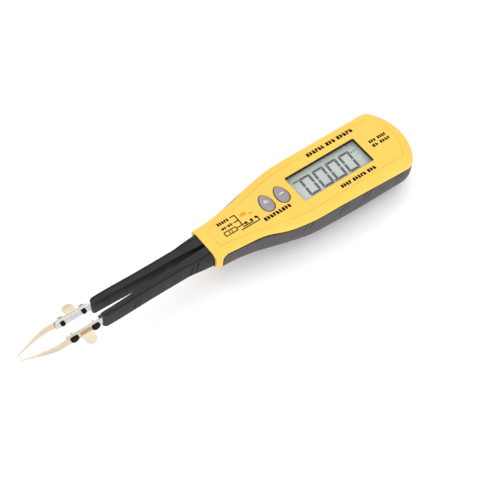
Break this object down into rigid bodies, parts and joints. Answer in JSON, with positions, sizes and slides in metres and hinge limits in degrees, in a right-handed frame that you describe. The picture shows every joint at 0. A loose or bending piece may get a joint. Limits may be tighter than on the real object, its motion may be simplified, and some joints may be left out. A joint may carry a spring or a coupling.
{
  "type": "tweezer lcr meter",
  "caption": "Handheld tweezer-type meter for surface-mount parts: a display case with two sprung arms that end in plated tips, and press buttons.",
  "frame": {"origin": "centre of the bounding box in X and Y, on the surface that the meter lies on", "axes": "+X from the tips to the butt, +Z out of the display, +Y across the case"},
  "size_m": [0.2, 0.035, 0.023],
  "materials": {
    "yellow_plastic": "moulded ABS, satin, warm yellow",
    "grey_plastic": "moulded ABS, fine grain, dark warm grey",
    "arm_plastic": "moulded plastic, fine matt grain, near black",
    "button_plastic": "satin grey-lilac plastic",
    "clear_lens": "clear polished plastic window",
    "lcd_glass": "grey-green liquid crystal panel behind glass",
    "white_plastic": "plain white moulded frame",
    "zebra_rubber": "soft conductive rubber",
    "board_green": "solder-masked glass-fibre board",
    "black_plastic": "moulded black plastic",
    "crystal_can": "plain pressed steel",
    "spring_steel": "bright spring steel strip",
    "black_screw": "blackened steel",
    "gold_plating": "gold-plated metal, pale and bright",
    "wire_cover": "soft wire insulation"
  },
  "bodies": {
    "case": {"front_cover": "yellow_plastic", "rear_cover": "grey_plastic", "battery_door": "grey_plastic", "battery_door_screw": "black_screw", "case_screw_neck": "black_screw", "case_screw_rear_left": "black_screw", "case_screw_rear_right": "black_screw", "window_lens": "clear_lens", "lcd_panel": "lcd_glass", "lcd_holder": "white_plastic", "zebra_strip_upper": "zebra_rubber", "zebra_strip_lower": "zebra_rubber", "circuit_board": "board_green", "main_chip": "black_plastic", "crystal": "crystal_can", "buzzer": "black_plastic", "switch_function": "black_plastic", "switch_hold": "black_plastic", "battery_holder": "black_plastic", "coin_cell": "crystal_can", "battery_contact_positive": "gold_plating", "battery_contact_negative": "gold_plating", "arm_block": "black_plastic", "left_clamp_screw": "spring_steel", "right_clamp_screw": "spring_steel", "left_lead_wire": "wire_cover", "right_lead_wire": "wire_cover"},
    "right_arm": {"right_arm_cover": "arm_plastic", "right_spring_blade": "spring_steel", "right_tip": "gold_plating", "right_tip_screw_front": "black_screw", "right_tip_screw_rear": "black_screw"},
    "left_arm": {"left_arm_cover": "arm_plastic", "left_spring_blade": "spring_steel", "left_tip": "gold_plating", "left_tip_screw_front": "black_screw", "left_tip_screw_rear": "black_screw"},
    "function_button": {"button_function": "button_plastic"},
    "hold_button": {"button_hold": "button_plastic"}
  },
  "joints": [
    {"name": "right_arm_squeeze", "type": "hinge", "parent": "case", "child": "right_arm", "pos_m": [-0.00545, 0.0043, 0.0184], "axis": [0, 0, 1], "range_deg": [0, 0.57], "stiffness_Nm_per_rad": 4},
    {"name": "left_arm_squeeze", "type": "hinge", "parent": "case", "child": "left_arm", "pos_m": [-0.00545, -0.0043, 0.0184], "axis": [0, 0, -1], "range_deg": [0, 0.57], "stiffness_Nm_per_rad": 4},
    {"name": "function_press", "type": "slide", "parent": "case", "child": "function_button", "axis": [0, 0, -1], "range_m": [0, 0.0005], "stiffness_N_per_m": 500},
    {"name": "hold_press", "type": "slide", "parent": "case", "child": "hold_button", "axis": [0, 0, -1], "range_m": [0, 0.0005], "stiffness_N_per_m": 500}
  ]
}
